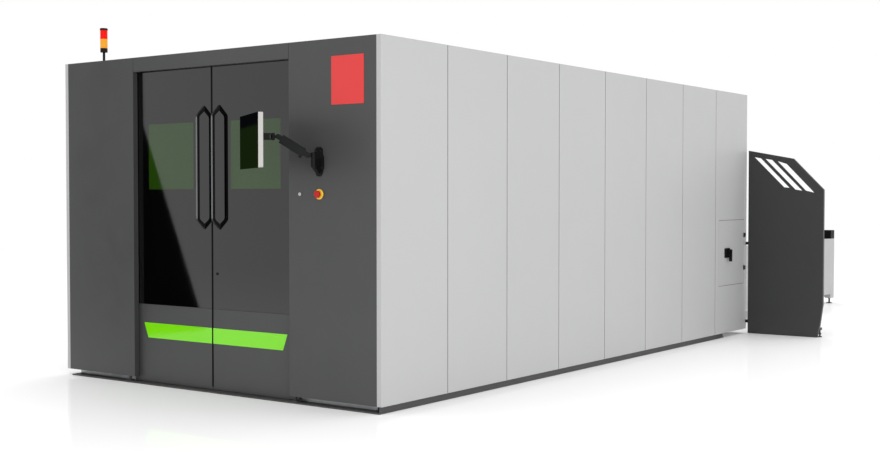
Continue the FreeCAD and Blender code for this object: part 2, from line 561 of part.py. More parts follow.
def shrink(pts, d):
    """Offset a counter-clockwise outline inwards by d."""
    n, out = len(pts), []
    for i in range(n):
        (x0, y0), (x1, y1), (x2, y2) = pts[i - 1], pts[i], pts[(i + 1) % n]
        l1, l2 = math.hypot(x1 - x0, y1 - y0), math.hypot(x2 - x1, y2 - y1)
        n1, n2 = (-(y1 - y0) / l1, (x1 - x0) / l1), (-(y2 - y1) / l2, (x2 - x1) / l2)
        k = d / (1 + n1[0] * n2[0] + n1[1] * n2[1])
        out.append((x1 + (n1[0] + n2[0]) * k, y1 + (n1[1] + n2[1]) * k))
    return out


wing = prism([(x, WING_Y, z) for x, z in outline], (0, WING_T, 0))
wing = wing.cut(prism([(x, WING_Y + 3, z) for x, z in shrink(outline, 3)], (0, WING_T, 0)))
for s in slots:
    wing = wing.cut(prism([(x, WING_Y - 1, z) for x, z in s], (0, WING_T + 2, 0)))
parts["guard_wing_right"] = wing.removeSplitter()
parts["guard_wing_left"] = mirror_x(wing)
brackets = []
for sx in (-1, 1):
    for z in (96.0, 818.0):
        b = box(sx * CAB_HALF, sx * 1458, WING_Y + 3, WING_Y + 18, z, z + 27)
        brackets.append(b)
parts["wing_brackets"] = group(brackets)
wfeet = []
for sx in (-1, 1):
    for xa, xb, xc, xf in ((2070, 2108, 2127, 2114), (1476, 1506, 1506, 1490)):
        f = box(sx * xa, sx * xb, WING_Y + 3, WING_Y + 85, 63, 85)
        f = f.fuse(box(sx * xa, sx * xc, WING_Y + 32, WING_Y + 85, 63, 85))
        f = f.fuse(cyl(sx * xf, WING_Y + 65, 5, 7, 60)).fuse(cyl(sx * xf, WING_Y + 65, 23, 13, 14))
        f = f.fuse(cyl(sx * xf, WING_Y + 65, 0, 19, 8))
        wfeet.append(f.removeSplitter())
parts["wing_feet"] = group(wfeet)

# ---------------------------------------------------------------- export
os.makedirs("parts", exist_ok=True)
for name, shape in parts.items():
    shape = shape.copy()
    shape.translate(V(0, -ORIGIN_Y, 0))
    if not shape.isValid():
        print("invalid", name)
    shape.exportStep("parts/" + name + ".step")
    b = shape.BoundBox
    print("%-24s %2d solid(s) %9.1f cm3  X %8.1f %8.1f  Y %8.1f %8.1f  Z %7.1f %7.1f" % (
        name, len(shape.Solids), shape.Volume / 1000.0, b.XMin, b.XMax, b.YMin, b.YMax, b.ZMin, b.ZMax))
print(len(parts), "nodes")
print("arm: A", A, "P", P, "L0", L0, "K0", K0, "Y0", Y0, "gap", gap, "off", off, "MC", MC)
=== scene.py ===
import json
import math
import random

import bmesh
import bpy
from mathutils import Euler, Matrix, Vector


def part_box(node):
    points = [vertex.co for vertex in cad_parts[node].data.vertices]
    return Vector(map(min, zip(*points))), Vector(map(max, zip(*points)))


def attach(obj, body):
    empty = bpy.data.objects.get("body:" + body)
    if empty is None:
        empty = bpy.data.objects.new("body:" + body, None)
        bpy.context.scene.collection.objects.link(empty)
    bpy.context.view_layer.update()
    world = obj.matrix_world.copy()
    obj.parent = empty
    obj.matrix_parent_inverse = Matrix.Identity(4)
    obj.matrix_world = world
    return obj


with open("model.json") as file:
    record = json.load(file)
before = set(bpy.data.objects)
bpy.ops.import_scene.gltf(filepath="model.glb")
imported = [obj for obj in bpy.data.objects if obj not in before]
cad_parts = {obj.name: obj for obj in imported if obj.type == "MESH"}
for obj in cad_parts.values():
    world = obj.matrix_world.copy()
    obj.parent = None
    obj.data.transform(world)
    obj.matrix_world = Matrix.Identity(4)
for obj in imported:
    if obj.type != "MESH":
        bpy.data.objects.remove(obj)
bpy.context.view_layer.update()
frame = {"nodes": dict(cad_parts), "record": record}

random.seed(7)
scene = bpy.context.scene
nodes = frame["nodes"]


# ----------------------------------------------------------------- materials
def shader(name):
    m = bpy.data.materials.new(name)
    m.use_nodes = True
    t = m.node_tree
    t.nodes.clear()
    out = t.nodes.new("ShaderNodeOutputMaterial")
    b = t.nodes.new("ShaderNodeBsdfPrincipled")
    t.links.new(b.outputs[0], out.inputs[0])
    return m, t, b


def noise(t, vec, scale, detail=4.0, rough=0.55):
    n = t.nodes.new("ShaderNodeTexNoise")
    n.inputs["Scale"].default_value = scale
    n.inputs["Detail"].default_value = detail
    n.inputs["Roughness"].default_value = rough
    t.links.new(vec, n.inputs["Vector"])
    return n.outputs["Fac"]


def remap(t, value, a, b, c, d):
    n = t.nodes.new("ShaderNodeMapRange")
    for k, v in zip((1, 2, 3, 4), (a, b, c, d)):
        n.inputs[k].default_value = v
    t.links.new(value, n.inputs[0])
    return n.outputs[0]


def ramp(t, value, stops):
    n = t.nodes.new("ShaderNodeValToRGB")
    cr = n.color_ramp
    cr.elements[0].position, cr.elements[0].color = stops[0][0], (*stops[0][1], 1)
    cr.elements[1].position, cr.elements[1].color = stops[-1][0], (*stops[-1][1], 1)
    for p, c in stops[1:-1]:
        e = cr.elements.new(p)
        e.color = (*c, 1)
    t.links.new(value, n.inputs[0])
    return n.outputs[0]


def mix(t, fac, a, b, mode="MIX"):
    n = t.nodes.new("ShaderNodeMix")
    n.data_type, n.blend_type = "RGBA", mode
    ins = {i.identifier: i for i in n.inputs}
    for key, v in (("Factor_Float", fac), ("A_Color", a), ("B_Color", b)):
        s = ins[key]
        if isinstance(v, (int, float)):
            s.default_value = v
        elif isinstance(v, tuple):
            s.default_value = (*v, 1)
        else:
            t.links.new(v, s)
    return {o.identifier: o for o in n.outputs}["Result_Color"]


def coords(t, stretch=(1, 1, 1)):
    tc = t.nodes.new("ShaderNodeTexCoord")
    if stretch == (1, 1, 1):
        return tc.outputs["Object"]
    mp = t.nodes.new("ShaderNodeMapping")
    mp.inputs["Scale"].default_value = stretch
    t.links.new(tc.outputs["Object"], mp.inputs["Vector"])
    return mp.outputs["Vector"]


def bump(t, b, height, strength, distance):
    n = t.nodes.new("ShaderNodeBump")
    n.inputs["Strength"].default_value = strength
    n.inputs["Distance"].default_value = distance
    t.links.new(height, n.inputs["Height"])
    t.links.new(n.outputs["Normal"], b.inputs["Normal"])


def surface(name, base, rough, metallic=0.0, var=0.03, big=1.1, fine=260.0, peel=0.05, peel_d=0.0004,
            rvar=0.05, spec=0.5, ior=1.5, coat=0.0, coat_rough=0.05, dust=0.0, dust_top=0.25,
            stretch=(1, 1, 1), speck=0.0, lo=None, hi=None):
    """Painted, moulded or machined surface: a slow tone drift, fine texture, uneven gloss and settled dust."""
    m, t, b = shader(name)
    obj = coords(t)
    vec = coords(t, stretch) if stretch != (1, 1, 1) else obj
    lo = lo or tuple(c * (1 - var) for c in base)
    hi = hi or tuple(min(1.0, c * (1 + var)) for c in base)
    col = ramp(t, noise(t, vec, big), [(0.3, lo), (0.7, hi)])
    if speck:
        f = remap(t, noise(t, vec, fine * 0.6, 2.0), 0.35, 0.65, 1 - speck, 1 + speck * 0.5)
        c = t.nodes.new("ShaderNodeCombineColor")
        for i in range(3):
            t.links.new(f, c.inputs[i])
        col = mix(t, 1.0, col, c.outputs[0], "MULTIPLY")
    if dust:
        sep = t.nodes.new("ShaderNodeSeparateXYZ")
        t.links.new(obj, sep.inputs[0])
        low = remap(t, sep.outputs["Z"], 0.0, dust_top, dust, 0.0)
        patch = remap(t, noise(t, obj, 9.0, 6.0), 0.35, 0.75, 0.3, 1.0)
        f = t.nodes.new("ShaderNodeMath")
        f.operation = "MULTIPLY"
        t.links.new(low, f.inputs[0])
        t.links.new(patch, f.inputs[1])
        col = mix(t, f.outputs[0], col, (0.30, 0.28, 0.25))
    t.links.new(col, b.inputs["Base Color"])
    t.links.new(remap(t, noise(t, vec, 5.0, 5.0), 0.3, 0.7, max(0.02, rough - rvar), min(1, rough + rvar)),
                b.inputs["Roughness"])
    if peel:
        bump(t, b, noise(t, vec, fine, 3.0), peel, peel_d)
    b.inputs["Metallic"].default_value = metallic
    b.inputs["Specular IOR Level"].default_value = spec
    b.inputs["IOR"].default_value = ior
    b.inputs["Coat Weight"].default_value = coat
    b.inputs["Coat Roughness"].default_value = coat_rough
    return m


def glass_black(name, lo, hi, ior, rough=0.03, smear=0.02):
    """Gloss-black or tinted glass with faint wipe marks in its polish."""
    m, t, b = shader(name)
    obj = coords(t)
    t.links.new(ramp(t, noise(t, obj, 0.9, 3.0), [(0.3, lo), (0.7, hi)]), b.inputs["Base Color"])
    wipe = noise(t, coords(t, (1.0, 1.0, 0.35)), 7.0, 6.0, 0.6)
    t.links.new(remap(t, wipe, 0.35, 0.7, rough, rough + smear), b.inputs["Roughness"])
    b.inputs["IOR"].default_value = ior
    return m


def ribbed(name, base, rough, pitch, strength=0.4, distance=0.001, axis="Z", spec=0.5, glow=0.0, var=0.06):
    """Moulded piece with rings or ribs across one axis."""
    m, t, b = shader(name)
    obj = coords(t)
    lo = tuple(c * (1 - var) for c in base)
    w = t.nodes.new("ShaderNodeTexWave")
    w.wave_type, w.bands_direction = "BANDS", axis
    w.inputs["Scale"].default_value = math.pi / 10.0 / pitch
    w.inputs["Distortion"].default_value = 0.0
    t.links.new(obj, w.inputs["Vector"])
    shade = mix(t, remap(t, w.outputs["Fac"], 0.0, 1.0, 0.0, 0.75), lo, base)
    t.links.new(shade, b.inputs["Base Color"])
    t.links.new(remap(t, noise(t, obj, 60.0), 0.3, 0.7, rough - 0.04, rough + 0.05), b.inputs["Roughness"])
    bump(t, b, w.outputs["Fac"], strength, distance)
    b.inputs["Specular IOR Level"].default_value = spec
    if glow:
        b.inputs["Emission Color"].default_value = (*base, 1)
        b.inputs["Emission Strength"].default_value = glow
    return m


def screen_glass(name):
    """Unlit display behind matt glass: nearly black, with a dark green painted reflection over its lower part."""
    m, t, b = shader(name)
    obj = coords(t)
    sep = t.nodes.new("ShaderNodeSeparateXYZ")
    t.links.new(obj, sep.inputs[0])
    wave = remap(t, noise(t, obj, 6.0, 3.0), 0.3, 0.7, -0.004, 0.004)
    add = t.nodes.new("ShaderNodeMath")
    t.links.new(sep.outputs["Z"], add.inputs[0])
    t.links.new(wave, add.inputs[1])
    # painted reflection: dark green below a wavy line near Z 1.67 m, nearly black above
    t.links.new(ramp(t, remap(t, add.outputs[0], 1.664, 1.684, 0.0, 1.0),
                     [(0.0, (0.0062, 0.0125, 0.0030)), (1.0, (0.0018, 0.0020, 0.0026))]), b.inputs["Base Color"])
    t.links.new(remap(t, noise(t, coords(t, (1.0, 1.0, 0.4)), 9.0, 5.0), 0.35, 0.7, 0.34, 0.42), b.inputs["Roughness"])
    bump(t, b, noise(t, obj, 900.0, 2.0), 0.05, 0.0002)
    b.inputs["IOR"].default_value = 1.01
    b.inputs["Specular IOR Level"].default_value = 0.1
    return m


M = {
    "anthracite_plate": surface("m_anthracite_plate", (0.032, 0.0325, 0.033), 0.50, fine=300, speck=0.05, dust=0.10, dust_top=0.03),
    "frame_steel": surface("m_frame_steel", (0.020, 0.021, 0.022), 0.50, fine=200, speck=0.08),
    "light_grey_paint": surface("m_light_grey_paint", (0.402, 0.404, 0.404), 0.42, var=0.010, fine=420, peel=0.05, spec=0.35, dust=0.05, dust_top=0.22),
    "anthracite_paint": surface("m_anthracite_paint", (0.042, 0.0427, 0.043), 0.40, var=0.03, fine=420, peel=0.08, dust=0.03, dust_top=0.2),
    "door_paint": surface("m_door_paint", (0.0405, 0.0415, 0.042), 0.36, var=0.03, fine=420, peel=0.07, dust=0.04, dust_top=0.25),
    "black_glass": glass_black("m_black_glass", (0.0006, 0.0006, 0.0007), (0.0011, 0.0011, 0.0012), 1.62),
    "green_filter_glass": glass_black("m_green_filter_glass", (0.010, 0.034, 0.0015), (0.014, 0.042, 0.0022), 1.62),
    "green_stripe": surface("m_green_stripe", (0.180, 0.66, 0.005), 0.06, var=0.03, big=2.0, fine=300, peel=0.02, rvar=0.03, spec=0.5),
    "handle_paint": surface("m_handle_paint", (0.010, 0.010, 0.0105), 0.34, fine=400, peel=0.05, spec=0.25),
    "black_plastic": surface("m_black_plastic", (0.005, 0.005, 0.0055), 0.38, fine=500, peel=0.10, speck=0.15, spec=0.15),
    "yellow_plastic": surface("m_yellow_plastic", (0.80, 0.47, 0.030), 0.34, fine=500, peel=0.05),
    "red_plastic": surface("m_red_plastic", (0.42, 0.008, 0.006), 0.30, fine=500, peel=0.04, spec=0.3),
    "white_plastic": surface("m_white_plastic", (0.40, 0.405, 0.40), 0.30, fine=500, peel=0.04),
    "red_paint": surface("m_red_paint", (0.60, 0.028, 0.026), 0.32, fine=350, peel=0.03, var=0.04),
    "amber_lens": ribbed("m_amber_lens", (0.80, 0.33, 0.02), 0.20, 0.004, spec=0.2, glow=0.03),
    "red_lens": ribbed("m_red_lens", (0.80, 0.006, 0.001), 0.20, 0.004, spec=0.12, glow=0.02),
    "black_cast": surface("m_black_cast", (0.0045, 0.0045, 0.005), 0.45, fine=180, peel=0.25, speck=0.15, spec=0.18),
    "arm_paint": surface("m_arm_paint", (0.0085, 0.009, 0.0095), 0.38, fine=300, peel=0.08, spec=0.14),
    "monitor_plastic": surface("m_monitor_plastic", (0.42, 0.41, 0.39), 0.42, fine=600, peel=0.08, var=0.02),
    # screen: nearly black with a dark green painted reflection over its lower part
    "screen_glass": screen_glass("m_screen_glass_painted_reflection"),
    "black_rubber_steel": surface("m_black_rubber_steel", (0.014, 0.014, 0.015), 0.48, fine=200, peel=0.15, speck=0.15, dust=0.12, dust_top=0.05),
    "pallet_steel": surface("m_pallet_steel", (0.19, 0.185, 0.18), 0.50, metallic=0.7, var=0.22, big=6.0, fine=90, peel=0.2, rvar=0.14,
                            lo=(0.10, 0.082, 0.066), hi=(0.27, 0.265, 0.26)),
    "bed_paint": surface("m_bed_paint", (0.060, 0.063, 0.066), 0.42, fine=260, peel=0.12, dust=0.15, dust_top=0.9),
    "rail_steel": surface("m_rail_steel", (0.56, 0.56, 0.57), 0.20, metallic=1.0, stretch=(40, 1, 40), big=1.5, fine=20, peel=0.06),
    "gantry_aluminium": surface("m_gantry_aluminium", (0.46, 0.47, 0.48), 0.34, metallic=0.6, stretch=(1, 12, 12), big=1.2, fine=30, peel=0.08),
    "carriage_paint": surface("m_carriage_paint", (0.50, 0.51, 0.51), 0.34, fine=420, peel=0.05),
    "head_metal": surface("m_head_metal", (0.34, 0.345, 0.35), 0.28, metallic=0.8, fine=300, peel=0.05),
    "black_block": surface("m_black_block", (0.004, 0.004, 0.004), 0.46, fine=260, peel=0.15, speck=0.1, spec=0.10),
    "black_hinge": surface("m_black_hinge", (0.007, 0.007, 0.0075), 0.36, fine=300, peel=0.12, spec=0.25),
    "galvanised_steel": surface("m_galvanised_steel", (0.42, 0.43, 0.44), 0.38, metallic=0.9, var=0.12, big=22.0, fine=120, peel=0.08),
}
# black rubber for the door seals; also the black of the gap fillers, which is painted shade in the gaps
SEAL_AND_GAP_SHADE = surface("m_seal_rubber_and_gap_shade", (0.0025, 0.0025, 0.0025), 0.60, fine=600, peel=0.2, speck=0.2, spec=0.12)
# lighter grey for the strip on each handle's outer face, a painted highlight
HANDLE_PAINTED_HIGHLIGHT = surface("m_handle_highlight_paint", (0.120, 0.122, 0.124), 0.30, fine=400, peel=0.05)
SCREW = surface("m_screw", (0.030, 0.030, 0.031), 0.32, metallic=0.6, fine=500, peel=0.1)
ZINC = surface("m_zinc", (0.50, 0.50, 0.49), 0.30, metallic=1.0, var=0.06, big=30, fine=400, peel=0.06)

# guard wings: the anthracite paint copied with a darker tone, which is painted shade
WING_PAINTED_SHADE = surface("m_guard_wing_painted_shade", (0.024, 0.0243, 0.0247), 0.44, var=0.03, fine=420, peel=0.08, dust=0.04, dust_top=0.2)
for sub in frame["record"]["subparts"]:
    o, m = nodes[sub["node"]], M.get(sub["material_slot"])
    if sub["node"].startswith("guard_wing"):
        m = WING_PAINTED_SHADE
    if m is None:
        raise SystemExit("no material for slot " + sub["material_slot"])
    if o.material_slots:
        for s in o.material_slots:
            s.material = m
    else:
        o.data.materials.append(m)


# ------------------------------------------------------------- added pieces
def obj_from(bm, name, material, body, smooth=True):
    me = bpy.data.meshes.new(name)
    bmesh.ops.recalc_face_normals(bm, faces=bm.faces)
    bm.to_mesh(me)
    bm.free()
    o = bpy.data.objects.new(name, me)
    scene.collection.objects.link(o)
    me.materials.append(material)
    if smooth:
        for p in me.polygons:
            p.use_smooth = True
        try:
            me.set_sharp_from_angle(angle=math.radians(35))
        except Exception:
            pass
    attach(o, body)
    return o


def extrude_profile(pts, axis, a, b, cuts=1):
    """Closed profile of (u, v) points swept along an axis from a to b."""
    bm = bmesh.new()
    put = {"X": lambda u, v, w: (w, u, v), "Y": lambda u, v, w: (u, w, v), "Z": lambda u, v, w: (u, v, w)}[axis]
    rings = []
    for k in range(cuts + 1):
        w = a + (b - a) * k / cuts
        rings.append([bm.verts.new(put(u, v, w)) for u, v in pts])
    n = len(pts)
    for r0, r1 in zip(rings, rings[1:]):
        for i in range(n):
            bm.faces.new((r0[i], r0[(i + 1) % n], r1[(i + 1) % n], r1[i]))
    bm.faces.new(rings[0])
    bm.faces.new(list(reversed(rings[-1])))
    return bm


def screw_head(bm, centre, normal, r, h, socket=True, sides=20):
    """Cap-head screw: rounded rim and, when socket is set, a round socket sunk in its face."""
    nrm = Vector(normal).normalized()
    q = nrm.to_track_quat("Z", "Y").to_matrix()
    c = Vector(centre)

    def ring(rad, z, n=sides, off=0.0):
        return [bm.verts.new(c + q @ Vector((rad * math.cos(2 * math.pi * i / n + off),
                                             rad * math.sin(2 * math.pi * i / n + off), z))) for i in range(n)]
    rings = [ring(r, -0.0008), ring(r, h * 0.72), ring(r * 0.93, h * 0.92), ring(r * 0.84, h)]
    if socket:
        rings += [ring(r * 0.50, h), ring(r * 0.46, h * 0.35)]
    for a, b in zip(rings, rings[1:]):
        for i in range(sides):
            bm.faces.new((a[i], a[(i + 1) % sides], b[(i + 1) % sides], b[i]))
    bm.faces.new(rings[-1])
    bm.faces.new(list(reversed(rings[0])))


def screws(name, places, r, h, material, body, socket=True):
    bm = bmesh.new()
    for c, n in places:
        screw_head(bm, c, n, r, h, socket)
    return obj_from(bm, name, material, body)


# rubber lips where the two doors meet, one on each leaf
for side, body in ((1, "door_right"), (-1, "door_left")):
    lo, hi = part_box("door_leaf_right" if side > 0 else "door_leaf_left")
    y = lo.y
    prof = [(0.0003, y + 0.030), (0.0003, y + 0.004), (0.0008, y - 0.0012), (0.0020, y - 0.0024), (0.0046, y - 0.0026),
            (0.0062, y - 0.0018), (0.0064, y - 0.0002), (0.0015, y - 0.0002), (0.0015, y + 0.030)]
    bm = extrude_profile([(side * u, v) for u, v in prof], "Z", 0.030, 2.124, 8)
    obj_from(bm, "door_seal_right" if side > 0 else "door_seal_left", SEAL_AND_GAP_SHADE, body)

# satin lighter-grey strip on the outer face of each pull handle, a painted highlight for the black bar's lit front
# face
for side, body in (("right", "door_right"), ("left", "door_left")):
    lo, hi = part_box("door_handle_" + side)
    flat = [v.co for v in nodes["door_handle_" + side].data.vertices if v.co.y < lo.y + 0.0005]
    z0, z1 = min(v.z for v in flat), max(v.z for v in flat)
    w, xc = hi.x - lo.x - 0.0014, (lo.x + hi.x) / 2
    bm = bmesh.new()
    ends = [(z0, 0.30), (z0 + 0.004, 0.78), (z0 + 0.012, 1.0), (z1 - 0.012, 1.0), (z1 - 0.004, 0.78), (z1, 0.30)]
    rings = []
    for z, k in ends:
        h = w / 2 * k
        rings.append([bm.verts.new((xc + u, lo.y + v, z)) for u, v in ((-h, 0.0004), (-h, -0.0004), (-h + 0.0008, -0.0009),
                                                                       (h - 0.0008, -0.0009), (h, -0.0004), (h, 0.0004))])
    for r0, r1 in zip(rings, rings[1:]):
        for i in range(6):
            bm.faces.new((r0[i], r0[(i + 1) % 6], r1[(i + 1) % 6], r1[i]))
    bm.faces.new(rings[0])
    bm.faces.new(list(reversed(rings[-1])))
    obj_from(bm, "handle_highlight_strip_" + side, HANDLE_PAINTED_HIGHLIGHT, body)

# socket screws: arm wall plate and switch base
lo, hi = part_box("arm_wall_plate")
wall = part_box("front_column_right")[0].y
cx = (lo.x + hi.x) / 2
screws("arm_plate_screws", [((cx - 0.022, wall - 0.009, lo.z + 0.052), (0, -1, 0)), ((cx + 0.024, wall - 0.009, lo.z + 0.052), (0, -1, 0)),
                            ((cx - 0.020, wall - 0.009, hi.z - 0.022), (0, -1, 0)), ((cx + 0.018, wall - 0.009, hi.z - 0.022), (0, -1, 0))],
       0.0048, 0.0042, SCREW, "enclosure")
lo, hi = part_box("switch_base")
pts = [((hi.x, y, z), (1, 0, 0)) for y in (lo.y + 0.009, hi.y - 0.009) for z in (lo.z + 0.009, hi.z - 0.009)]
screws("switch_base_screws", pts, 0.0032, 0.0018, SCREW, "switch_door")


def rounded_strip(name, a, b, w, h, up, material, body, bm=None):
    """Pressed strip with bevelled shoulders lying from a to b, h high along up."""
    own = bm is None
    bm = bm or bmesh.new()
    a, b, up = Vector(a), Vector(b), Vector(up).normalized()
    d = (b - a).normalized()
    s = d.cross(up).normalized()
    prof = [(-w / 2, -0.0006), (-w / 2, h * 0.45), (-w / 2 + h * 0.5, h), (w / 2 - h * 0.5, h), (w / 2, h * 0.45), (w / 2, -0.0006)]
    r0 = [bm.verts.new(a + s * u + up * v) for u, v in prof]
    r1 = [bm.verts.new(b + s * u + up * v) for u, v in prof]
    n = len(prof)
    for i in range(n):
        bm.faces.new((r0[i], r0[(i + 1) % n], r1[(i + 1) % n], r1[i]))
    bm.faces.new(r0)
    bm.faces.new(list(reversed(r1)))
    return obj_from(bm, name, material, body) if own else bm


def islands(node):
    """Bounding boxes (low, high) of a node's separate solids."""
    b = bmesh.new()
    b.from_mesh(nodes[node].data)
    b.verts.ensure_lookup_table()
    seen, boxes = set(), []
    for v in b.verts:
        if v.index in seen:
            continue
        stack, part = [v], []
        seen.add(v.index)
        while stack:
            q = stack.pop()
            part.append(q.co.copy())
            for e in q.link_edges:
                w = e.other_vert(q)
                if w.index not in seen:
                    seen.add(w.index)
                    stack.append(w)
        boxes.append((Vector([min(c[i] for c in part) for i in range(3)]), Vector([max(c[i] for c in part) for i in range(3)])))
    b.free()
    return boxes


def gap_filler(name, x_face, depth, out, y0, y1, z0, z1, recess=0.0009):
    """Extruded black filler standing in a vertical gap of a side wall, crowned on its outer face; its black is painted
    shade for the gap.
    """
    ym, r = (y0 + y1) / 2, (y1 - y0) / 2
    xo, xi = x_face - out * recess, x_face - out * depth
    prof = [(xi, y0), (xo - out * 0.0012, y0), (xo - out * 0.0004, ym - r * 0.6), (xo, ym), (xo - out * 0.0004, ym + r * 0.6),
            (xo - out * 0.0012, y1), (xi, y1), (xi, ym)]
    return extrude_profile(prof, "Z", z0, z1, 6)


# side walls: black fillers in the gaps between neighbouring panels, painted shade for the gaps
for side, names in ((1, ("side_panels_right", "side_panel_right_rear")), (-1, ("side_panels_left",))):
    boxes = sorted([q for nm in names for q in islands(nm)], key=lambda q: q[0].y)
    face = max(q[1].x for q in boxes) if side > 0 else min(q[0].x for q in boxes)
    big = [q for q in boxes if q[1].z - q[0].z > 1.5]
    for k, (a, b) in enumerate(zip(big, big[1:])):
        if 0.002 < b[0].y - a[1].y < 0.012:
            name = "panel_gasket_%s_%d" % ("right" if side > 0 else "left", k + 1)
            bm = gap_filler(name, face, 0.020, side, a[1].y + 0.0001, b[0].y - 0.0001, a[0].z + 0.003, a[1].z - 0.003)
            obj_from(bm, name, SEAL_AND_GAP_SHADE, "enclosure")

# switch door: black lips in the gaps above and below it, painted shade for the gaps
lo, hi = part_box("switch_cabinet_door")
for name, za, zb in (("switch_gap_shade_top", hi.z + 0.0005, hi.z + 0.0028), ("switch_gap_shade_bottom", lo.z - 0.0028, lo.z - 0.0005)):
    zm = (za + zb) / 2
    prof = [(hi.x - 0.014, za), (hi.x - 0.0016, za), (hi.x - 0.0010, zm), (hi.x - 0.0016, zb), (hi.x - 0.014, zb)]
    bm = extrude_profile(prof, "Y", lo.y + 0.002, hi.y - 0.002, 4)
    obj_from(bm, name, SEAL_AND_GAP_SHADE, "enclosure")

# header: dark fillers in the gaps to the two front columns, painted shade for the gaps
lo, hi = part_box("front_header")
for side, name in ((1, "header_gap_shade_right"), (-1, "header_gap_shade_left")):
    xa = (hi.x if side > 0 else -lo.x) + 0.0001
    xb = xa + 0.0023
    prof = [(side * xa, lo.y + 0.014), (side * xa, lo.y + 0.0014), (side * (xa + xb) / 2, lo.y + 0.0007), (side * xb, lo.y + 0.0014), (side * xb, lo.y + 0.014)]
    bm = extrude_profile(prof, "Z", lo.z + 0.001, hi.z - 0.001, 2)
    obj_from(bm, name, SEAL_AND_GAP_SHADE, "enclosure")

# roof: standing seams over the frame's posts, each with a row of screws
lo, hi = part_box("roof_panel")
plo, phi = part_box("side_panels_left")
bm = bmesh.new()
pts = []
n = 8
for i in range(1, n):
    y = lo.y + (hi.y - lo.y) * i / n
    rounded_strip("", (lo.x + 0.03, y, hi.z), (hi.x - 0.03, y, hi.z), 0.050, 0.0045, (0, 0, 1), None, None, bm)
    for k in range(9):
        pts.append(((lo.x + 0.12 + (hi.x - lo.x - 0.24) * k / 8, y, hi.z + 0.0045), (0, 0, 1)))
obj_from(bm, "roof_seams", M["anthracite_paint"], "enclosure")
screws("roof_seam_screws", pts, 0.006, 0.003, ZINC, "enclosure")

# rear wall: screws round each tray's floor
lo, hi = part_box("rear_wall")
olo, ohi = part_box("extraction_collar")
face = lo.y + 0.003
pts = []
for x0, x1, z0, z1 in ((-1.396, -0.861, 0.045, 1.100), (-1.396, -0.861, 1.500, 2.178), (0.861, 1.396, 0.045, 1.100),
                       (0.861, 1.396, 1.101, 2.178), (-0.860, 0.860, 0.961, 2.178), (-0.860, 0.860, 0.045, 0.439)):
    nx, nz = max(1, round((x1 - x0) / 0.33)), max(1, round((z1 - z0) / 0.33))
    for i in range(nx + 1):
        for z in (z0 + 0.03, z1 - 0.03):
            pts.append(((x0 + 0.03 + (x1 - x0 - 0.06) * i / nx, face, z), (0, 1, 0)))
    for k in range(1, nz):
        for x in (x0 + 0.03, x1 - 0.03):
            pts.append(((x, face, z0 + 0.03 + (z1 - z0 - 0.06) * k / nz), (0, 1, 0)))
screws("rear_wall_screws", pts, 0.006, 0.0034, SCREW, "enclosure")
cc = (olo + ohi) / 2
pts = []
for i in range(8):
    a = math.pi / 8 + i * math.pi / 4
    pts.append(((cc.x + 0.113 * math.cos(a), face + 0.004, cc.z + 0.113 * math.sin(a)), (0, 1, 0)))
screws("collar_screws", pts, 0.0045, 0.003, ZINC, "enclosure")

# pallets: the slats' burnt, toothed crests
for node, body in (("pallet_inner", "pallet_a"), ("pallet_outer", "pallet_b")):
    lo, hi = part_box(node)
    me = nodes[node].data
    top = sorted(set(round(v.co.y, 4) for v in me.vertices if v.co.z > hi.z - 0.0005))
    slats = []
    for y in top:
        if not slats or y - slats[-1][0] > 0.02:
            slats.append([y, y])
        slats[-1][1] = y
    x0, x1 = min(v.co.x for v in me.vertices if v.co.z > hi.z - 0.0005), max(v.co.x for v in me.vertices if v.co.z > hi.z - 0.0005)
    bm = bmesh.new()
    teeth = 44
    for ya, yb in slats:
        front, back = [], []
        for ring, y in ((front, ya), (back, yb)):
            for k in range(teeth):
                xa, xb = x0 + (x1 - x0) * k / teeth, x0 + (x1 - x0) * (k + 1) / teeth
                h = random.uniform(0.0075, 0.0105) if y == ya else None
                ring.append((xa, xb, h))
        for k in range(teeth):
            xa, xb, h = front[k]
            xm = (xa + xb) / 2
            v = [bm.verts.new(p) for p in ((xa, ya, hi.z - 0.001), (xb, ya, hi.z - 0.001), (xm + 0.0035, ya, hi.z + h), (xm - 0.0035, ya, hi.z + h),
                                           (xa, yb, hi.z - 0.001), (xb, yb, hi.z - 0.001), (xm + 0.0035, yb, hi.z + h), (xm - 0.0035, yb, hi.z + h))]
            for f in ((0, 1, 2, 3), (7, 6, 5, 4), (0, 4, 5, 1), (1, 5, 6, 2), (2, 6, 7, 3), (3, 7, 4, 0)):
                bm.faces.new([v[i] for i in f])
    obj_from(bm, node + "_crests", M["pallet_steel"], body, smooth=False)

# ---------------------------------------------------------------- stage
bm = bmesh.new()
S = 40.0
g = [[bm.verts.new((x * S, y * S, -0.0008)) for x in (-1, 0, 1)] for y in (-1, 0, 1)]
for j in range(2):
    for i in range(2):
        bm.faces.new((g[j][i], g[j][i + 1], g[j + 1][i + 1], g[j + 1][i]))
me = bpy.data.meshes.new("floor")
bm.to_mesh(me)
bm.free()
floor = bpy.data.objects.new("floor", me)
scene.collection.objects.link(floor)
fm = bpy.data.materials.new("m_floor")
fm.use_nodes = True
t = fm.node_tree
t.nodes.clear()
out = t.nodes.new("ShaderNodeOutputMaterial")
dif = t.nodes.new("ShaderNodeBsdfDiffuse")
dif.inputs["Color"].default_value = (0.86, 0.86, 0.86, 1)
glo = t.nodes.new("ShaderNodeBsdfGlossy")
glo.inputs["Color"].default_value = (1, 1, 1, 1)
glo.inputs["Roughness"].default_value = 0.035
mx = t.nodes.new("ShaderNodeMixShader")
mx.inputs[0].default_value = 0.15
t.links.new(dif.outputs[0], mx.inputs[1])
t.links.new(glo.outputs[0], mx.inputs[2])
far = t.nodes.new("ShaderNodeVectorMath")
far.operation = "LENGTH"
t.links.new(coords(t), far.inputs[0])
em = t.nodes.new("ShaderNodeEmission")
